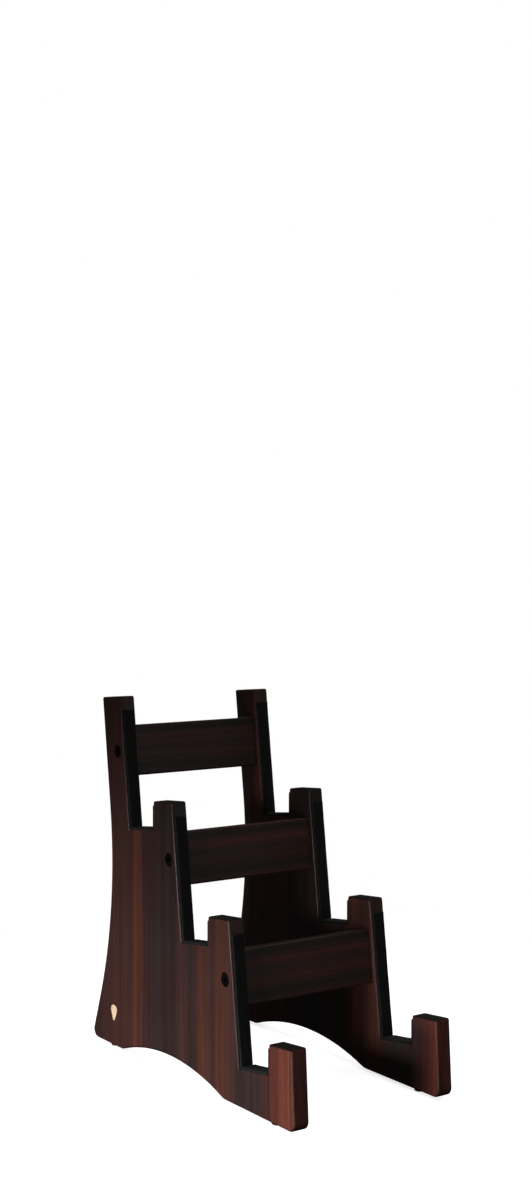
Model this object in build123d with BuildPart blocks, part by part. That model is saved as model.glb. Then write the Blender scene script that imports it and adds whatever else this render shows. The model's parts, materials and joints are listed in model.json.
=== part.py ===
from build123d import *
import os
from math import atan, cos, degrees, hypot, sin

# A knock-down wooden rack that holds three guitars in a stepped row.
# Two sawtooth side panels stand on rubber feet and are bolted to three cross rails.
# Row frame: +X across the rack, +Y towards its back, +Z up, origin under the middle of it.
# Profiles are drawn in panel coordinates: y from the front of the lowest lip, z from the
# underside of the panel. Every length is in millimetres.

# ---- Overall ----
panel_thickness = 19.0
clear_width = 171.0  # between the two panels
foot_height = 3.0  # how far a foot stands below the panel
tiers = 3
tier_depth = 116.0  # one tier to the next, towards the back
tier_rise = 111.0  # one tier to the next, upwards
tier_names = ["front", "middle", "rear"]

# ---- Panel outline, lowest tier ----
toe = (-5.0, 0.0)
lip_front = (0.0, 84.0)  # front corner of the lip's top
lip_back = (41.0, 80.4)  # back corner of the lip's top
seat_front = (41.0, 47.49)
seat_back = (95.9, 40.36)  # where the seat meets the backrest
post_back = (391.5, 413.3)  # back corner of the rear post's top
waist = (374.9, 290.0)  # where the straight back edge of the post ends
heel_sweep = [(370.5, 196.0), (387.3, 91.8)]  # the back edge between the waist and the heel
heel = (419.2, 0.0)
heel_slope = (0.338, -0.941)  # direction of the back edge at the heel
arch_back = (346.0, 0.0)
arch_crown = (234.0, 19.0)
arch_front = (127.0, 0.0)
heel_radius = 9.0
toe_radius = 9.0
arch_end_radius = 18.0
lip_corner_radius = 2.5
edge_radius = 2.0  # rounding of the panels' and rails' long edges

# ---- Pads ----
seat_pad_thickness = 3.0
back_pad_thickness = 3.0
lip_pad_thickness = 3.0
seat_pad_width = panel_thickness - 1.0
lip_pad_width = panel_thickness - 1.5
back_pad_width = panel_thickness - 2 * edge_radius
back_pad_top = 140.0  # up the backrest from the seat
lip_pad_margin = 5.0  # below the lip's top
pad_gap = 0.2  # between the seat pad's ends and the pads that it lies between
pad_edge_radius = 0.8

# ---- Cross rails ----
rail_width = 60.0  # up the backrest
rail_thickness = 18.0
rail_height = 92.0  # of the rail's middle, up the backrest from the seat
rail_setback = 6.0  # of the rail's face behind the backrest

# ---- Connector bolts, barrel nuts and dowels ----
bolt_radius = 3.0
bolt_length = 50.0
bolt_head_radius = 7.5
bolt_head_height = 2.5
bolt_head_rounding = 0.6
hex_across_flats = 4.0
hex_depth = 1.8
bolt_hole_radius = 3.3
counterbore_radius = 7.8
counterbore_depth = 3.0
nut_radius = 4.95
nut_length = 13.0
nut_bore_radius = 3.02
nut_from_end = 28.0  # along the rail
nut_hole_radius = 5.0
nut_hole_past_bolt = 7.0
nut_slot_width = 1.2
nut_slot_depth = 1.2
dowel_radius = 4.0
dowel_hole_radius = 4.02
dowel_in_panel = 10.0
dowel_in_rail = 20.0
dowel_spread = 19.0  # from the bolt, along the rail's width
hole_spare = 1.0  # beyond the end of a bolt, dowel or screw
dowel_chamfer = 0.8

# ---- Feet and their screws ----
foot_places = {"front": 38.0, "rear": 375.0}
foot_top_radius = 7.0
foot_bottom_radius = 6.2
foot_edge_radius = 0.6
screw_recess_radius = 3.8
screw_recess_depth = 1.9
screw_head_radius = 3.3
screw_head_height = 1.4
screw_radius = 1.6
screw_length = 15.0
screw_hole_radius = 1.65
cross_slot_length = 3.6
cross_slot_width = 0.8
cross_slot_depth = 0.7

# ---- Inlay, a plain plectrum shape in the left panel ----
inlay_place = (365.0, 37.0)
inlay_height = 22.0
inlay_width = 19.0
inlay_thickness = 1.2
inlay_shoulder_radius = 5.0
inlay_tip_radius = 2.5

os.makedirs("parts", exist_ok=True)

half_width = clear_width / 2 + panel_thickness
seat_length = hypot(seat_back[0] - seat_front[0], seat_back[1] - seat_front[1])
backrest_run = tier_depth + lip_front[0] - seat_back[0]
backrest_rise = tier_rise + lip_front[1] - seat_back[1]
lean = atan(backrest_run / backrest_rise)  # of the backrests, in radians
sides = {"left": -1, "right": 1}


def on_tier(point, tier):
    """A point of the lowest tier, moved to another tier."""
    return (point[0] + tier * tier_depth, point[1] + tier * tier_rise)


# ---- Side panel outline ----
front_points = [toe]
for tier in range(tiers):
    for point in (lip_front, lip_back, seat_front, seat_back):
        front_points.append(on_tier(point, tier))
post_front = on_tier(lip_front, tiers)
front_points += [post_front, post_back, waist]

with BuildSketch() as outline:
    with BuildLine():
        Polyline(*front_points)
        post_edge = Vector(waist[0] - post_back[0], waist[1] - post_back[1])
        down_the_post = post_edge.normalized()
        Spline(waist, *heel_sweep, heel, tangents=[down_the_post, heel_slope])
        Line(heel, arch_back)
        ThreePointArc(arch_back, arch_crown, arch_front)
        Line(arch_front, toe)
    make_face()

    def corner(point):
        return outline.vertices().sort_by_distance((point[0], point[1], 0))[0]

    fillet(corner(toe), toe_radius)
    fillet(corner(heel), heel_radius)
    fillet([corner(arch_back), corner(arch_front)], arch_end_radius)
    lip_corners = [corner(post_front), corner(post_back)]
    for tier in range(tiers):
        lip_corners.append(corner(on_tier(lip_front, tier)))
        lip_corners.append(corner(on_tier(lip_back, tier)))
    fillet(lip_corners, lip_corner_radius)

outline_box = outline.sketch.bounding_box()
middle_y = (outline_box.min.X + outline_box.max.X) / 2


def place(x, point):
    """A point of the panel profile in the row frame, at the given x."""
    return (x, point[0] - middle_y, point[1] + foot_height)


def profile_plane(x):
    """The panel profile's plane at x: local x runs to the back, local y runs up."""
    return Plane(origin=place(x, (0, 0)), x_dir=(0, 1, 0), z_dir=(1, 0, 0))


def cradle_plane(tier, x):
    """A tier's own plane at x: local y runs up its backrest, and local x runs behind it."""
    origin = place(x, on_tier(seat_back, tier))
    return Plane(origin=origin, x_dir=(0, cos(lean), -sin(lean)), z_dir=(1, 0, 0))


def cradle_point(tier, x, behind, up):
    """A point given in a tier's own plane, in the row frame."""
    return cradle_plane(tier, x).from_local_coords((behind, up, 0))


rail_middle = rail_setback + rail_thickness / 2
bolt_in_rail = bolt_length + counterbore_depth - panel_thickness


def export(piece, name):
    piece.part.label = name
    export_step(piece.part, f"parts/{name}.step")


# ---- Side panels ----
def foot_centre(side, end):
    x = side * (clear_width + panel_thickness) / 2
    return place(x, (foot_places[end], 0))


def is_seat_edge(edge):
    """Seat edges stay square, because the pads come flush with the panel's faces."""
    middles = []
    for tier in range(tiers):
        ends = (on_tier(seat_front, tier), on_tier(seat_back, tier))
        middles.append([(ends[0][i] + ends[1][i]) / 2 for i in range(2)])
    return any((edge.center() - Vector(*place(edge.center().X, m))).length < 1 for m in middles)


with BuildSketch() as plectrum:
    with BuildLine():
        shoulder = (inlay_width / 2, inlay_height / 2)
        Polyline((-shoulder[0], shoulder[1]), shoulder, (0, -shoulder[1]), close=True)
    make_face()
    tip, *shoulders = plectrum.vertices().sort_by(Axis.Y)
    fillet(shoulders, inlay_shoulder_radius)
    fillet(plectrum.vertices().sort_by_distance(tip)[0:1], inlay_tip_radius)

inlay_plane = Plane(origin=place(-half_width, inlay_place), x_dir=(0, -1, 0), z_dir=(-1, 0, 0))

for side_name, side in sides.items():
    outer_x = side * half_width
    inner_x = side * clear_width / 2
    with BuildPart() as panel:
        with BuildSketch(profile_plane(min(outer_x, inner_x))):
            add(outline.sketch)
        extrude(amount=panel_thickness)
        rim = panel.faces().sort_by(Axis.X)[0].edges() + panel.faces().sort_by(Axis.X)[-1].edges()
        fillet([edge for edge in rim if not is_seat_edge(edge)], edge_radius)
        for tier in range(tiers):
            bolt_place = cradle_point(tier, outer_x, rail_middle, rail_height)
            with Locations(Plane(origin=bolt_place, z_dir=(side, 0, 0))):
                CounterBoreHole(bolt_hole_radius, counterbore_radius, counterbore_depth)
            for offset in (-dowel_spread, dowel_spread):
                dowel_place = cradle_point(tier, inner_x, rail_middle, rail_height + offset)
                with Locations(Plane(origin=dowel_place, z_dir=(-side, 0, 0))):
                    Hole(dowel_hole_radius, depth=dowel_in_panel + hole_spare)
        for end in foot_places:
            with Locations(Plane(origin=foot_centre(side, end), z_dir=(0, 0, -1))):
                Hole(screw_hole_radius, depth=screw_length + hole_spare)
        if side_name == "left":
            with BuildSketch(inlay_plane):
                add(plectrum.sketch)
            extrude(amount=-inlay_thickness, mode=Mode.SUBTRACT)
    export(panel, f"{side_name}_side_panel")

with BuildPart() as inlay:
    with BuildSketch(inlay_plane):
        add(plectrum.sketch)
    extrude(amount=-inlay_thickness)
export(inlay, "plectrum_inlay")

# ---- Cross rails ----
for tier, tier_name in enumerate(tier_names):
    with BuildPart() as rail:
        with BuildSketch(cradle_plane(tier, -clear_width / 2)):
            with Locations((rail_middle, rail_height)):
                Rectangle(rail_thickness, rail_width)
        extrude(amount=clear_width)
        fillet(rail.edges().filter_by(Axis.X), edge_radius)
        for side in sides.values():
            end_x = side * clear_width / 2
            bolt_place = cradle_point(tier, end_x, rail_middle, rail_height)
            with Locations(Plane(origin=bolt_place, z_dir=(side, 0, 0))):
                Hole(bolt_hole_radius, depth=bolt_in_rail + hole_spare)
            for offset in (-dowel_spread, dowel_spread):
                dowel_place = cradle_point(tier, end_x, rail_middle, rail_height + offset)
                with Locations(Plane(origin=dowel_place, z_dir=(side, 0, 0))):
                    Hole(dowel_hole_radius, depth=dowel_in_rail + hole_spare)
            nut_x = end_x - side * nut_from_end
            rail_back = rail_setback + rail_thickness
            nut_mouth = cradle_point(tier, nut_x, rail_back, rail_height)
            with Locations(Plane(origin=nut_mouth, z_dir=(0, cos(lean), -sin(lean)))):
                Hole(nut_hole_radius, depth=rail_thickness / 2 + nut_hole_past_bolt)
    export(rail, f"{tier_name}_cross_rail")

# ---- Pads on the seats, backrests and lips ----
seat_pad_start = -(seat_length - lip_pad_thickness / cos(lean) - pad_gap)
seat_pad_end = -(back_pad_thickness + pad_gap)
lip_pad_foot = seat_front[1]
lip_pad_top = lip_back[1] - lip_pad_margin
for side_name, side in sides.items():
    panel_middle = side * (clear_width + panel_thickness) / 2
    for tier, tier_name in enumerate(tier_names):
        with BuildPart() as seat_pad:
            with BuildSketch(cradle_plane(tier, panel_middle)):
                with Locations(((seat_pad_start + seat_pad_end) / 2, seat_pad_thickness / 2)):
                    Rectangle(seat_pad_end - seat_pad_start, seat_pad_thickness)
            extrude(amount=seat_pad_width / 2, both=True)
            top_face = seat_pad.faces().sort_by(Axis.Z)[-1]
            fillet(top_face.edges().filter_by(Axis.X, reverse=True), pad_edge_radius)
        export(seat_pad, f"{tier_name}_seat_pad_{side_name}")

        with BuildPart() as back_pad:
            with BuildSketch(cradle_plane(tier, panel_middle)):
                with Locations((-back_pad_thickness / 2, back_pad_top / 2)):
                    Rectangle(back_pad_thickness, back_pad_top)
            extrude(amount=back_pad_width / 2, both=True)
            fillet(back_pad.faces().sort_by(Axis.Y)[0].edges(), pad_edge_radius)
        export(back_pad, f"{tier_name}_back_pad_{side_name}")

        with BuildPart() as lip_pad:
            centre = (lip_back[0] + lip_pad_thickness / 2, (lip_pad_foot + lip_pad_top) / 2)
            with BuildSketch(profile_plane(panel_middle)):
                with Locations(on_tier(centre, tier)):
                    Rectangle(lip_pad_thickness, lip_pad_top - lip_pad_foot)
            extrude(amount=lip_pad_width / 2, both=True)
            fillet(lip_pad.faces().sort_by(Axis.Y)[-1].edges(), pad_edge_radius)
        export(lip_pad, f"{tier_name}_lip_pad_{side_name}")

# ---- Connector bolts, barrel nuts and dowels, one set at each end of each rail ----
rail_ends = [(tier, side) for tier in range(tiers) for side in sides.values()]

with BuildPart() as bolts:
    for tier, side in rail_ends:
        under_head = side * (half_width - counterbore_depth)
        seat = cradle_point(tier, under_head, rail_middle, rail_height)
        head_plane = Plane(origin=seat, z_dir=(side, 0, 0))
        with BuildSketch(head_plane):
            Circle(bolt_head_radius)
        head = extrude(amount=bolt_head_height)
        outward = Axis.X if side > 0 else -Axis.X
        fillet(head.faces().sort_by(outward)[-1].edges(), bolt_head_rounding)
        with BuildSketch(head_plane.offset(bolt_head_height)):
            RegularPolygon(hex_across_flats / 2, 6, major_radius=False)
        extrude(amount=-hex_depth, mode=Mode.SUBTRACT)
        with BuildSketch(head_plane):
            Circle(bolt_radius)
        extrude(amount=-bolt_length)
export(bolts, "connector_bolts")

with BuildPart() as nuts:
    for tier, side in rail_ends:
        nut_x = side * (clear_width / 2 - nut_from_end)
        middle = cradle_point(tier, nut_x, rail_middle, rail_height)
        nut_plane = Plane(origin=middle, x_dir=(1, 0, 0), z_dir=(0, cos(lean), -sin(lean)))
        with BuildSketch(nut_plane):
            Circle(nut_radius)
        extrude(amount=nut_length / 2, both=True)
        with BuildSketch(nut_plane.offset(nut_length / 2)):
            Rectangle(nut_slot_width, 3 * nut_radius)
        extrude(amount=-nut_slot_depth, mode=Mode.SUBTRACT)
        with BuildSketch(Plane(origin=middle, z_dir=(1, 0, 0))):
            Circle(nut_bore_radius)
        extrude(amount=2 * nut_radius, both=True, mode=Mode.SUBTRACT)
export(nuts, "barrel_nuts")

with BuildPart() as dowels:
    for tier, side in rail_ends:
        for offset in (-dowel_spread, dowel_spread):
            joint = cradle_point(tier, side * clear_width / 2, rail_middle, rail_height + offset)
            with BuildSketch(Plane(origin=joint, z_dir=(side, 0, 0)).offset(-dowel_in_rail)):
                Circle(dowel_radius)
            dowel = extrude(amount=dowel_in_panel + dowel_in_rail)
            chamfer(dowel.edges().filter_by(GeomType.CIRCLE), dowel_chamfer)
export(dowels, "wooden_dowels")

# ---- Feet and their screws ----
feet = [(side_name, end) for side_name in sides for end in foot_places]
for side_name, end in feet:
    top_centre = foot_centre(sides[side_name], end)
    with BuildPart() as foot:
        with BuildSketch(Plane(origin=top_centre, z_dir=(0, 0, -1))):
            Circle(foot_top_radius)
        with BuildSketch(Plane(origin=top_centre, z_dir=(0, 0, -1)).offset(foot_height)):
            Circle(foot_bottom_radius)
        loft()
        fillet(foot.faces().sort_by(Axis.Z)[0].edges(), foot_edge_radius)
        with Locations(Plane(origin=top_centre, z_dir=(0, 0, -1)).offset(foot_height)):
            CounterBoreHole(screw_hole_radius, screw_recess_radius, screw_recess_depth)
    export(foot, f"{end}_foot_{side_name}")

with BuildPart() as screws:
    for side_name, end in feet:
        top_centre = foot_centre(sides[side_name], end)
        under_head = Plane(origin=top_centre, z_dir=(0, 0, -1)).offset(foot_height - screw_recess_depth)
        with BuildSketch(under_head):
            Circle(screw_head_radius)
        extrude(amount=screw_head_height)
        with BuildSketch(under_head.offset(screw_head_height)):
            Rectangle(cross_slot_length, cross_slot_width)
            Rectangle(cross_slot_width, cross_slot_length)
        extrude(amount=-cross_slot_depth, mode=Mode.SUBTRACT)
        with BuildSketch(under_head):
            Circle(screw_radius)
        extrude(amount=-screw_length)
export(screws, "foot_screws")

print(f"lean of the backrests {degrees(lean):.2f} degrees, seat length {seat_length:.1f} mm")
print(f"outline y {outline_box.min.X:.2f} to {outline_box.max.X:.2f}, middle {middle_y:.2f}")
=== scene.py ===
import json
from math import cos, pi, radians, sin

import bmesh
import bpy
from mathutils import Euler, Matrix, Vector

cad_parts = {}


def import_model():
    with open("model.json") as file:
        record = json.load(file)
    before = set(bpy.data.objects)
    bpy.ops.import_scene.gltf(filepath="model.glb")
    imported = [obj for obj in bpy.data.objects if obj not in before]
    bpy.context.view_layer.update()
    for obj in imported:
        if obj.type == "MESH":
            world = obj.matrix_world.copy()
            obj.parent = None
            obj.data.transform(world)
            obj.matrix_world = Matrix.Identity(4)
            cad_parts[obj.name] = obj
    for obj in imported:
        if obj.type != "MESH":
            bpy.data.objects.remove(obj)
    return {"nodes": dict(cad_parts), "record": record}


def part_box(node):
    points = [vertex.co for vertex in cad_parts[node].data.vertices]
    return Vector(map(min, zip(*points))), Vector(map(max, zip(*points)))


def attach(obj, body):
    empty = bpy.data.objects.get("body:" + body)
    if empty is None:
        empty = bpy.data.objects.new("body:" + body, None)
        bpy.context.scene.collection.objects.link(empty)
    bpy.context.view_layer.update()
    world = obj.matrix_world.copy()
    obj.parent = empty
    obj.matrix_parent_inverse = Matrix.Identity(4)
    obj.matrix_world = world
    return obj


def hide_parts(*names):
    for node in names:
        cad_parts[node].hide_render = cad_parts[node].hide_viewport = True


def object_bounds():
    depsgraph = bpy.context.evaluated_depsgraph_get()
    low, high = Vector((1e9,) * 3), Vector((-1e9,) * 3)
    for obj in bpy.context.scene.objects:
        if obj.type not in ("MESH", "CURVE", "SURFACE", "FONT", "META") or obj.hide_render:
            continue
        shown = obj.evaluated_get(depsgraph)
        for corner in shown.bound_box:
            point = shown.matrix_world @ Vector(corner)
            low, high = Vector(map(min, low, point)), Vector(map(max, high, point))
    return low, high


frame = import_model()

cad_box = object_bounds()

# A stepped wooden guitar rack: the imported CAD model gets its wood, rubber and metal here, and
# its foam pads are made again as soft strips. Lengths are in metres.
MM = 0.001
TIERS = ("front", "middle", "rear")
SIDES = ("left", "right")


# ---- Node graphs ----
def srgb(code):
    """A linear colour from a six-digit hexadecimal sRGB one."""
    channels = [int(code[i:i + 2], 16) / 255 for i in (0, 2, 4)]
    linear = [c / 12.92 if c <= 0.04045 else ((c + 0.055) / 1.055) ** 2.4 for c in channels]
    return (*linear, 1.0)


class Graph:
    """One material's nodes, each made with its inputs already wired."""

    def __init__(self, name):
        self.material = bpy.data.materials.new(name)
        self.material.use_nodes = True
        self.tree = self.material.node_tree
        self.surface = self.tree.nodes["Principled BSDF"]
        self.place = self.node("TexCoord").outputs["Object"]

    def node(self, kind, inputs=(), **settings):
        made = self.tree.nodes.new("ShaderNode" + kind)
        for key, value in settings.items():
            setattr(made, key, value)
        for key, value in dict(inputs).items():
            self.wire(value, made.inputs[key])
        return made

    def wire(self, value, socket):
        if isinstance(value, bpy.types.NodeSocket):
            self.tree.links.new(value, socket)
        else:
            socket.default_value = value

    def math(self, operation, a, b=0.0, clamp=False):
        made = self.node("Math", {0: a, 1: b}, operation=operation, use_clamp=clamp)
        return made.outputs[0]

    def stretch(self, factors, vector=None):
        """The surface's place, multiplied axis by axis: how often a pattern repeats per metre."""
        made = self.node("VectorMath", {0: vector or self.place, 1: factors}, operation="MULTIPLY")
        return made.outputs[0]

    def noise(self, vector, detail=2.0, roughness=0.5, distortion=0.0):
        inputs = {"Vector": vector, "Scale": 1.0, "Detail": detail, "Roughness": roughness,
                  "Distortion": distortion}
        return self.node("TexNoise", inputs).outputs["Fac"]

    def remap(self, value, low, high, to_low=0.0, to_high=1.0):
        inputs = {"Value": value, "From Min": low, "From Max": high, "To Min": to_low,
                  "To Max": to_high}
        return self.node("MapRange", inputs).outputs[0]

    def ramp(self, value, stops, interpolation="EASE"):
        made = self.node("ValToRGB", {"Fac": value})
        band = made.color_ramp
        band.interpolation = interpolation
        while len(band.elements) < len(stops):
            band.elements.new(0.5)
        for element, (at, colour) in zip(band.elements, stops):
            element.position = at
            element.color = colour
        return made.outputs["Color"]

    def mix(self, factor, a, b, blend="MIX"):
        made = self.node("Mix", data_type="RGBA", blend_type=blend)
        for value, socket in ((factor, made.inputs[0]), (a, made.inputs[6]), (b, made.inputs[7])):
            self.wire(value, socket)
        return made.outputs[2]

    def shade(self, colour, factor):
        """A colour made darker or lighter by a number."""
        channels = {"Red": factor, "Green": factor, "Blue": factor}
        grey = self.node("CombineColor", channels).outputs[0]
        return self.mix(1.0, colour, grey, "MULTIPLY")

    def bump(self, height, distance, strength=1.0, before=None):
        inputs = {"Height": height, "Distance": distance, "Strength": strength}
        if before is not None:
            inputs["Normal"] = before
        return self.node("Bump", inputs).outputs["Normal"]

    def finish(self, **sockets):
        for key, value in sockets.items():
            self.wire(value, self.surface.inputs[key.replace("_", " ")])
        return self.material


# ---- Materials ----
# The stain's tones, and the staves of each board: how far across the board a tone stands, from
# the front lip to the heel on a panel and from the lower to the upper edge on a rail.
RUST, RUSSET, CHESTNUT = srgb("763c2e"), srgb("63322a"), srgb("5a3023")
UMBER, COCOA, SLATE, CHARCOAL = srgb("502c26"), srgb("462824"), srgb("3d2c2a"), srgb("33211f")
PANEL_STAVES = [
    (0.00, RUST), (0.05, RUST), (0.08, RUSSET), (0.10, RUSSET), (0.12, UMBER), (0.15, SLATE),
    (0.24, SLATE), (0.28, UMBER), (0.33, CHESTNUT), (0.36, COCOA), (0.41, CHESTNUT),
    (0.46, CHARCOAL), (0.50, COCOA), (0.55, CHARCOAL), (0.67, CHARCOAL), (0.75, CHESTNUT),
    (0.80, COCOA), (0.86, UMBER), (0.92, COCOA), (1.00, CHARCOAL)]
RAIL_STAVES = [
    (0.00, UMBER), (0.20, CHARCOAL), (0.38, CHESTNUT), (0.55, COCOA), (0.72, RUSSET),
    (0.88, CHARCOAL), (1.00, UMBER)]
VEIN = srgb("1d1311")
PORE = srgb("120b09")
END_GRAIN = srgb("1a1412")
WORN_EDGE_AND_HIGHLIGHT = srgb("7a4a38")  # painted highlight, partly worn stain, on upright edges
EDGE_SHADE_LINE = srgb("120b09")  # painted shade in a dark line on level edges
WOOD_BRIGHTNESS = 0.445  # of the tones above, once they are stained and lacquered
GRAIN_WANDER = 0.020  # metres that the grain strays from straight
LACQUER = {"coat": 0.06, "specular": 0.26}
DRY_LACQUER = {"coat": 0.01, "specular": 0.08}


def figured(graph, scales, staves, across, low, high, slide):
    """The wood's long figure: its colour, its narrow streaks and where its pores are."""
    # The grain wanders a little from straight, and the staves with it.
    wander = graph.noise(graph.stretch(scales(7.0, 2.2, 5.0)), detail=3.0)
    parts = graph.node("SeparateXYZ", {0: graph.place}).outputs
    offset = graph.math("MULTIPLY", graph.math("SUBTRACT", wander, 0.5), GRAIN_WANDER)
    bent = graph.math("ADD", parts[across], offset)
    coordinates = {axis: bent if axis == across else parts[axis] for axis in range(3)}
    bent_place = graph.node("CombineXYZ", coordinates).outputs[0]
    slid = graph.math("ADD", graph.remap(bent, low, high), slide)
    tone = graph.ramp(slid, staves)

    # Streaks a few millimetres wide, dark veins, and pores drawn out along the grain.
    def figure(fine, coarse, thin, **settings):
        return graph.noise(graph.stretch(scales(fine, coarse, thin), bent_place), **settings)

    broad = figure(130.0, 1.4, 60.0, detail=3.0)
    narrow = figure(420.0, 5.0, 320.0, detail=5.0, roughness=0.62)
    veins = figure(160.0, 2.0, 60.0, detail=4.0, distortion=0.3)
    pores = figure(1500.0, 55.0, 1100.0, detail=2.0)
    streaks = graph.math("MULTIPLY", graph.remap(broad, 0.3, 0.7, 0.70, 1.32),
                         graph.remap(narrow, 0.25, 0.75, 0.66, 1.32))
    colour = graph.shade(tone, graph.math("MULTIPLY", streaks, WOOD_BRIGHTNESS))
    vein_mask = graph.remap(veins, 0.57, 0.68, 0.0, 0.55)
    colour = graph.mix(vein_mask, colour, VEIN)
    pore_mask = graph.remap(pores, 0.60, 0.72, 0.0, 0.75)
    return graph.mix(pore_mask, colour, PORE), narrow, pore_mask


def with_end_grain(graph, scales, colour, along_grain):
    """The colour with dark, round-pored end grain where the surface faces along the grain."""
    end_mask = graph.remap(graph.math("ABSOLUTE", along_grain), 0.34, 0.70)
    end_pores = graph.noise(graph.stretch((1100.0, 1100.0, 1100.0)), detail=3.0, roughness=0.7)
    rings = graph.noise(graph.stretch(scales(300.0, 40.0, 90.0)), detail=3.0)
    end_shade = graph.math("MULTIPLY", graph.remap(end_pores, 0.35, 0.65, 0.55, 1.35),
                           graph.remap(rings, 0.3, 0.7, 0.7, 1.3))
    return graph.mix(end_mask, colour, graph.shade(END_GRAIN, end_shade)), end_mask


def with_edges(graph, colour, facing):
    """The colour with a painted highlight, partly worn stain, on the upright rounded edges in
    places, and a dark line of painted shade on the level ones. Also returns where the two kinds
    of edge are."""
    square = graph.math("MULTIPLY", facing[0], facing[0])
    rounding = graph.math("MULTIPLY", graph.math("SUBTRACT", 1.0, square), square)
    rounding = graph.math("MULTIPLY", rounding, 4.0, clamp=True)
    edge_patches = graph.noise(graph.stretch((60.0, 60.0, 60.0)), detail=5.0, roughness=0.65)
    upright = graph.remap(graph.math("ABSOLUTE", facing[2]), 0.0, 0.33, 1.0, 0.0)
    edge_wear_and_highlight_mask = graph.math("MULTIPLY", rounding, graph.remap(edge_patches, 0.42, 0.72, 0.0, 0.28))
    edge_wear_and_highlight_mask = graph.math("MULTIPLY", edge_wear_and_highlight_mask, upright)
    # Painted highlight: the upright rounded edges are lightened in patches, partly as worn stain.
    colour = graph.mix(edge_wear_and_highlight_mask, colour, WORN_EDGE_AND_HIGHLIGHT)
    # Painted shade: the level rounded edges are darkened to a dark line.
    level = graph.math("ABSOLUTE", graph.math("MULTIPLY", facing[0], facing[2]))
    level_mask = graph.math("MULTIPLY", level, 2.4, clamp=True)
    return graph.mix(level_mask, colour, EDGE_SHADE_LINE), rounding, level_mask


def stained_wood(name, staves, across, along, low, high, slide=0.0):
    """Dark striped wood under satin lacquer. The staves lie side by side from low to high on the
    axis across, and the grain runs on the axis along; both are 0, 1 or 2. The slide shifts the
    staves, as a part of the board's width."""
    graph = Graph(name)

    def scales(fine, coarse, thin):
        """How often a pattern repeats: fine across the figure, coarse along the grain."""
        factors = [thin, thin, thin]
        factors[across] = fine
        factors[along] = coarse
        return tuple(factors)

    facing = graph.node("SeparateXYZ", {0: graph.node("NewGeometry").outputs["Normal"]}).outputs
    colour, narrow, pore_mask = figured(graph, scales, staves, across, low, high, slide)
    colour, end_mask = with_end_grain(graph, scales, colour, facing[along])
    colour, rounding, level_mask = with_edges(graph, colour, facing)

    # The pores and grain stand a little in the lacquer, and it is worn unevenly.
    relief = graph.math("ADD", graph.math("MULTIPLY", pore_mask, -0.9),
                        graph.math("MULTIPLY", narrow, 0.5))
    normal = graph.bump(relief, 0.00012, 0.55)
    peel = graph.noise(graph.stretch((260.0, 260.0, 260.0)), detail=1.0)
    normal = graph.bump(peel, 0.00006, 0.35, normal)
    rub = graph.noise(graph.stretch((18.0, 14.0, 9.0)), detail=4.0, roughness=0.6)
    dull = graph.math("ADD", graph.math("MULTIPLY", pore_mask, 0.2),
                      graph.math("MULTIPLY", end_mask, 0.35))
    gloss = graph.math("ADD", graph.remap(rub, 0.3, 0.7, 0.36, 0.50), dull)

    # It has sunk into end grain, and is thin on the edges.
    dry = graph.math("MAXIMUM", end_mask, level_mask)
    dry = graph.math("MAXIMUM", dry, graph.math("MULTIPLY", rounding, 0.75))
    coat = graph.remap(dry, 0.0, 1.0, LACQUER["coat"], DRY_LACQUER["coat"])
    specular = graph.remap(dry, 0.0, 1.0, LACQUER["specular"], DRY_LACQUER["specular"])
    return graph.finish(Base_Color=colour, Roughness=gloss, Normal=normal, Coat_Weight=coat,
                        Coat_Roughness=0.25, Specular_IOR_Level=specular)


def foam():
    """Closed-cell foam: near-black, matt, with fine cells and a few pale specks of dust."""
    graph = Graph("pad_foam")
    cells = graph.node("TexVoronoi", {"Vector": graph.place, "Scale": 1500.0}).outputs["Distance"]
    grains = graph.noise(graph.stretch((2400.0, 2400.0, 2400.0)), detail=2.0)
    cloud = graph.noise(graph.stretch((45.0, 30.0, 30.0)), detail=4.0, roughness=0.6)
    colour = graph.mix(graph.remap(cloud, 0.35, 0.7), srgb("0c0c0d"), srgb("151515"))
    colour = graph.shade(colour, graph.remap(cells, 0.0, 0.6, 0.6, 1.2))
    dust = graph.remap(grains, 0.70, 0.80, 0.0, 0.3)
    colour = graph.mix(dust, colour, srgb("3c3b3a"))
    relief = graph.math("ADD", cells, graph.math("MULTIPLY", grains, 0.6))
    normal = graph.bump(relief, 0.00018, 0.8)
    gloss = graph.remap(cloud, 0.3, 0.7, 0.78, 0.95)
    return graph.finish(Base_Color=colour, Roughness=gloss, Normal=normal, Specular_IOR_Level=0.16)


def rubber():
    """Moulded black rubber, smeared with dust in places."""
    graph = Graph("foot_rubber")
    stipple = graph.noise(graph.stretch((1800.0, 1800.0, 1800.0)), detail=3.0, roughness=0.6)
    smear = graph.noise(graph.stretch((160.0, 160.0, 90.0)), detail=4.0, roughness=0.6)
    colour = graph.mix(graph.remap(smear, 0.4, 0.75), srgb("161616"), srgb("2c2a28"))
    normal = graph.bump(stipple, 0.00010, 0.7)
    gloss = graph.remap(smear, 0.3, 0.7, 0.55, 0.80)
    return graph.finish(Base_Color=colour, Roughness=gloss, Normal=normal)


def plated(name, dark, light, roughness):
    """Plated steel: two tones of plating, fine turning marks and rubbed spots."""
    graph = Graph(name)
    marks = graph.noise(graph.stretch((350.0, 2600.0, 2600.0)), detail=3.0)
    rubbed = graph.noise(graph.stretch((420.0, 420.0, 420.0)), detail=4.0, roughness=0.65)
    colour = graph.mix(graph.remap(rubbed, 0.42, 0.68), srgb(dark), srgb(light))
    colour = graph.shade(colour, graph.remap(marks, 0.3, 0.7, 0.85, 1.12))
    normal = graph.bump(marks, 0.00003, 0.5)
    gloss = graph.remap(rubbed, 0.3, 0.7, roughness + 0.08, roughness - 0.06)
    return graph.finish(Base_Color=colour, Roughness=gloss, Normal=normal, Metallic=1.0)


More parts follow.
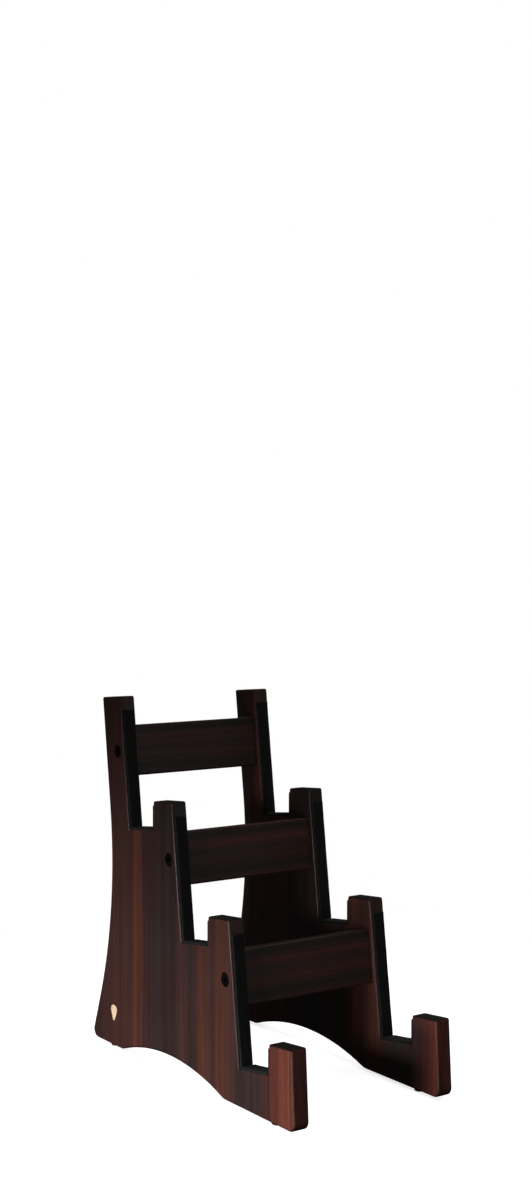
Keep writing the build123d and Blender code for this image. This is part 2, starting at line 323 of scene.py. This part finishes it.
def beech():
    """Plain dowel wood, with the grain along the dowel."""
    graph = Graph("dowel_beech")
    grain = graph.noise(graph.stretch((30.0, 900.0, 900.0)), detail=4.0, roughness=0.6)
    colour = graph.ramp(grain, [(0.3, srgb("a98360")), (0.7, srgb("d2b48c"))])
    return graph.finish(Base_Color=colour, Roughness=graph.remap(grain, 0.3, 0.7, 0.6, 0.75))


def cream_inlay():
    """Cream plastic with a faint swirl, polished with the panel."""
    graph = Graph("inlay_cream")
    swirl = graph.noise(graph.stretch((140.0, 140.0, 90.0)), detail=5.0, roughness=0.6,
                        distortion=1.2)
    specks = graph.noise(graph.stretch((1500.0, 1500.0, 1500.0)), detail=2.0)
    stops = [(0.32, srgb("c9a684")), (0.5, srgb("dcc0a0")), (0.68, srgb("ead6b8"))]
    colour = graph.ramp(swirl, stops)
    colour = graph.shade(colour, graph.remap(specks, 0.3, 0.7, 0.78, 0.88))
    normal = graph.bump(specks, 0.00003, 0.3)
    gloss = graph.remap(swirl, 0.3, 0.7, 0.26, 0.38)
    return graph.finish(Base_Color=colour, Roughness=gloss, Normal=normal, Coat_Weight=0.3,
                        Coat_Roughness=0.15)


def paint(node, material):
    for slot in frame["nodes"][node].material_slots:
        slot.material = material


def panel_wood(side, slide):
    low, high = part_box(f"{side}_side_panel")
    return stained_wood(f"panel_wood_{side}", PANEL_STAVES, 1, 2, low[1], high[1], slide)


def rail_wood(tier):
    low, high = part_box(f"{tier}_cross_rail")
    return stained_wood(f"rail_wood_{tier}", RAIL_STAVES, 2, 0, low[2], high[2])


paint("left_side_panel", panel_wood("left", 0.0))
paint("right_side_panel", panel_wood("right", 0.04))
for tier in TIERS:
    paint(f"{tier}_cross_rail", rail_wood(tier))
foot_rubber = rubber()
for end in ("front", "rear"):
    for side in SIDES:
        paint(f"{end}_foot_{side}", foot_rubber)
paint("connector_bolts", plated("bolt_black_zinc", "171614", "3a3631", 0.34))
paint("barrel_nuts", plated("nut_zinc", "8d8f90", "b9bbbb", 0.36))
paint("foot_screws", plated("screw_zinc", "a3a5a6", "cfd0d0", 0.30))
paint("wooden_dowels", beech())
paint("plectrum_inlay", cream_inlay())


# ---- Pads ----
INSET = 0.15 * MM  # of a foam strip inside its CAD solid
PAD_THICKNESS = 3.0 * MM  # on the seats and the backrests
SEAT_DENT, BACK_DENT, LIP_DENT = 0.25 * MM, 0.20 * MM, 0.10 * MM
STATION_SPACING = 1.6 * MM  # between a strip's cross-sections
FEWEST_STATIONS = 24
END_RUN = 1.3 * MM  # over which a strip's ends pull in
LONG_RIPPLE, SHORT_RIPPLE, SIDE_RIPPLE = 5.1 * MM, 2.3 * MM, 7.0 * MM


def cradle_axes():
    """Which way a seat runs back and which way its backrest runs up, from the seat's mount."""
    for mount in frame["record"]["mounts"]:
        if mount["name"] == "front_seat_rest_left":
            up = Vector(mount["axis"])
    return Vector((0, up.z, -up.y)), up


def rounded_profile(width, height, crown, shoulder, steps):
    """A strip's cross-section, from one foot over the crown to the other: (across, height)."""
    half = width / 2
    points = [(-half, 0.0)]
    for side in (-1, 1):
        for i in range(steps + 1):
            turn = i / steps * pi / 2
            if side > 0:
                turn = pi / 2 - turn
            across = side * (half - shoulder * (1 - cos(turn)))
            points.append((across, height - crown - shoulder * (1 - sin(turn))))
        if side < 0:
            for k in range(1, 8):
                s = -1 + k / 4
                top = height - crown * s * s
                points.append((s * (half - shoulder), top))
    points.append((half, 0.0))
    return points


def foam_strip(node, start, along, normal, length, width, height, dent):
    """A soft strip glued by its flat side, with rounded shoulders, a slight crown, ends that pull
    in, and a shallow dent of the given depth where a guitar has stood."""
    across = along.cross(normal)
    shoulder = 0.34 * height
    crown = 0.07 * height
    mesh = bpy.data.meshes.new(f"{node}_foam")
    shape = bmesh.new()
    stations = max(FEWEST_STATIONS, int(length / STATION_SPACING))
    rings = []
    for i in range(stations + 1):
        at = length * (0.5 - 0.5 * cos(pi * i / stations))
        near_end = min(at, length - at)
        ease = min(1.0, near_end / END_RUN)
        pull = (1 - (1 - ease) ** 2) ** 0.5
        sink = dent * max(0.0, sin(pi * at / length)) ** 2
        wave = 0.02 * height * (sin(at / LONG_RIPPLE + width * 900) + sin(at / SHORT_RIPPLE))
        ring = []
        for x, z in rounded_profile(width, height, crown, shoulder, 4):
            lift = z / height
            x_here = x * (1 - 0.05 * (1 - pull)) * (1 + 0.012 * lift * sin(at / SIDE_RIPPLE))
            z_here = z * (0.72 + 0.28 * pull) - lift * lift * (sink + abs(wave))
            ring.append(shape.verts.new(start + along * at + across * x_here + normal * z_here))
        rings.append(ring)
    for a, b in zip(rings, rings[1:]):
        for i in range(len(a)):
            j = (i + 1) % len(a)
            shape.faces.new((a[i], a[j], b[j], b[i]))
    shape.faces.new(rings[0][::-1])
    shape.faces.new(rings[-1])
    bmesh.ops.recalc_face_normals(shape, faces=shape.faces)
    shape.to_mesh(mesh)
    shape.free()
    mesh.shade_smooth()
    strip = bpy.data.objects.new(f"{node}_foam", mesh)
    bpy.context.scene.collection.objects.link(strip)
    strip.data.materials.append(pad_foam)
    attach(strip, "root")
    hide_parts(node)


def pad_frame(node):
    """The lowest and highest corners of a pad's CAD solid, and the middle of its width."""
    low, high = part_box(node)
    return Vector(low), Vector(high), (low[0] + high[0]) / 2


pad_foam = foam()
seat_back, seat_up = cradle_axes()
for tier in TIERS:
    for side in SIDES:
        # The seat strip starts at its high front edge and runs down to the backrest.
        node = f"{tier}_seat_pad_{side}"
        low, high, middle = pad_frame(node)
        run = (high.y - low.y - PAD_THICKNESS * seat_up.y) / seat_back.y
        start = Vector((middle, low.y, high.z - PAD_THICKNESS * seat_up.z))
        foam_strip(node, start, seat_back, seat_up, run, high.x - low.x - INSET,
                   PAD_THICKNESS - INSET, SEAT_DENT)

        # The back strip starts at the seat and runs up the backrest, facing the guitar.
        node = f"{tier}_back_pad_{side}"
        low, high, middle = pad_frame(node)
        run = (high.z - low.z - PAD_THICKNESS * seat_up.y) / seat_up.z
        start = Vector((middle, low.y + PAD_THICKNESS * seat_back.y, low.z))
        foam_strip(node, start, seat_up, -seat_back, run, high.x - low.x - INSET,
                   PAD_THICKNESS - INSET, BACK_DENT)

        # The lip strip stands upright on the back of the lip.
        node = f"{tier}_lip_pad_{side}"
        low, high, middle = pad_frame(node)
        start = Vector((middle, low.y, low.z))
        foam_strip(node, start, Vector((0, 0, 1)), Vector((0, 1, 0)), high.z - low.z,
                   high.x - low.x - INSET, high.y - low.y - INSET, LIP_DENT)


# ---- Floor, light and camera ----
WHITE = (1.0, 1.0, 1.0, 1.0)
FLOOR_LIFT = 0.78  # the floor's own glow, which only the camera sees
FLOOR_SIZE = 40.0
FADE_START, FADE_END = 0.30, 0.80  # distances from the origin
ROOM_LIGHT = 0.04


def floor():
    """A pale floor that takes the rack's soft shadow and fades to plain white around it. The
    camera sees it lifted to white; to the rack it is only a mid grey, so it throws little light
    up under the dark wood."""
    graph = Graph("pale_floor")
    links, output = graph.tree.links, graph.tree.nodes["Material Output"]
    mottle = graph.noise(graph.stretch((6.0, 6.0, 6.0)), detail=4.0)
    colour = graph.mix(graph.remap(mottle, 0.3, 0.7), srgb("f0f0ef"), srgb("f6f6f5"))
    graph.finish(Base_Color=colour, Roughness=0.9, Specular_IOR_Level=0.0,
                 Emission_Color=WHITE, Emission_Strength=FLOOR_LIFT)
    distance = graph.node("VectorMath", {0: graph.place}, operation="LENGTH").outputs["Value"]
    white = graph.node("Emission", {"Color": WHITE, "Strength": 1.0}).outputs[0]
    fade = graph.node("MixShader", {0: graph.remap(distance, FADE_START, FADE_END)})
    links.new(graph.surface.outputs[0], fade.inputs[1])
    links.new(white, fade.inputs[2])
    grey = graph.node("BsdfDiffuse", {"Color": srgb("484848")}).outputs[0]
    seen = graph.node("MixShader", {0: graph.node("LightPath").outputs["Is Camera Ray"]})
    links.new(grey, seen.inputs[1])
    links.new(fade.outputs[0], seen.inputs[2])
    links.new(seen.outputs[0], output.inputs["Surface"])
    bpy.ops.mesh.primitive_plane_add(size=FLOOR_SIZE, location=(0, 0, cad_box[0][2]))
    ground = bpy.context.object
    ground.name = "floor"
    ground.data.materials.append(graph.material)


def world():
    """White behind everything for the camera, and a dim room for light and reflections."""
    scene_world = bpy.data.worlds.new("studio")
    scene_world.use_nodes = True
    tree = scene_world.node_tree
    backdrop = tree.nodes["Background"]
    backdrop.inputs["Color"].default_value = WHITE
    room = tree.nodes.new("ShaderNodeBackground")
    room.inputs["Color"].default_value = (1.0, 0.98, 0.96, 1.0)
    room.inputs["Strength"].default_value = ROOM_LIGHT
    rays = tree.nodes.new("ShaderNodeLightPath")
    choose = tree.nodes.new("ShaderNodeMixShader")
    tree.links.new(rays.outputs["Is Camera Ray"], choose.inputs[0])
    tree.links.new(room.outputs[0], choose.inputs[1])
    tree.links.new(backdrop.outputs[0], choose.inputs[2])
    tree.links.new(choose.outputs[0], tree.nodes["World Output"].inputs["Surface"])
    bpy.context.scene.world = scene_world


def softbox(name, place, width, height, power, aim=(0.0, 0.0, 0.15), spread=180.0):
    """An area light that faces the point aim. A grid on it narrows its spread, in degrees."""
    lamp = bpy.data.lights.new(name, "AREA")
    lamp.shape = "RECTANGLE"
    lamp.size = width
    lamp.size_y = height
    lamp.energy = power
    lamp.spread = radians(spread)
    box = bpy.data.objects.new(name, lamp)
    box.location = place
    facing = Vector(aim) - Vector(place)
    box.rotation_euler = facing.to_track_quat("-Z", "Y").to_euler()
    box.visible_camera = False
    bpy.context.scene.collection.objects.link(box)


def camera():
    """The photograph's view: from the front left, almost level, with a normal lens."""
    data = bpy.data.cameras.new("view")
    data.lens = 49.3
    data.sensor_width = 36.0
    data.clip_end = 100.0
    eye = bpy.data.objects.new("view", data)
    eye.location = (-1.0545, -1.5444, 0.5794)
    turn_right = radians(34.46)
    tilt_down = radians(1.37)
    eye.rotation_euler = Euler((pi / 2 - tilt_down, 0.0, -turn_right))
    bpy.context.scene.collection.objects.link(eye)
    bpy.context.scene.camera = eye


floor()
world()
# A narrow low box lights the foot of the left panel; the others are wide and soft.
softbox("low_key", (-1.40, -0.12, 0.14), 0.9, 0.2, 3.2, aim=(0.0, -0.05, -0.05), spread=44.0)
softbox("left_key", (-1.9, 0.0, 1.0), 1.2, 1.2, 1.9)
softbox("front_fill", (0.7, -2.4, 0.5), 1.0, 1.0, 3.5)
softbox("overhead", (0.0, 0.0, 2.6), 2.2, 2.2, 24.0)
softbox("right_fill", (2.2, 0.1, 1.0), 1.2, 1.2, 17.0)
softbox("back_fill", (0.0, 2.2, 1.8), 1.2, 1.2, 12.0)
camera()
bpy.context.scene.view_settings.view_transform = "Standard"
